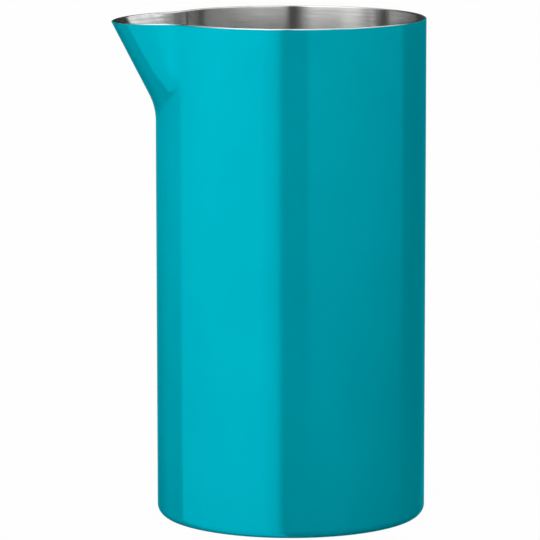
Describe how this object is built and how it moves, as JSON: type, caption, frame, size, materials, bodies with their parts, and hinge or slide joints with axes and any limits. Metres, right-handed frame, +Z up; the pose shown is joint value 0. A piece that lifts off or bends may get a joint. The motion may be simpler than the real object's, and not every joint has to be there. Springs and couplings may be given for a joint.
{
  "type": "creamer",
  "caption": "Small straight-sided steel creamer with a pressed pouring lip, brushed inside and coated with glossy teal enamel outside.",
  "frame": {"origin": "on the body's axis in the plane of the foot ring; the pressed-up middle of the underside lies 0.5 mm above it", "axes": "+Z up along the body's axis, -X towards the tip of the pouring lip, mirror plane XZ"},
  "size_m": [0.0586, 0.0504, 0.0936],
  "materials": {
    "brushed_steel": "brushed round the inside, bright rounded rim, bare underside",
    "weld_steel": "ground flush and brushed",
    "teal_enamel": "glossy fused enamel"
  },
  "bodies": {
    "root": {"base_cup": "brushed_steel", "base_weld": "weld_steel", "body_tube": "brushed_steel", "spout_weld": "weld_steel", "spout_lip": "brushed_steel", "enamel_coat": "teal_enamel"}
  },
  "joints": []
}
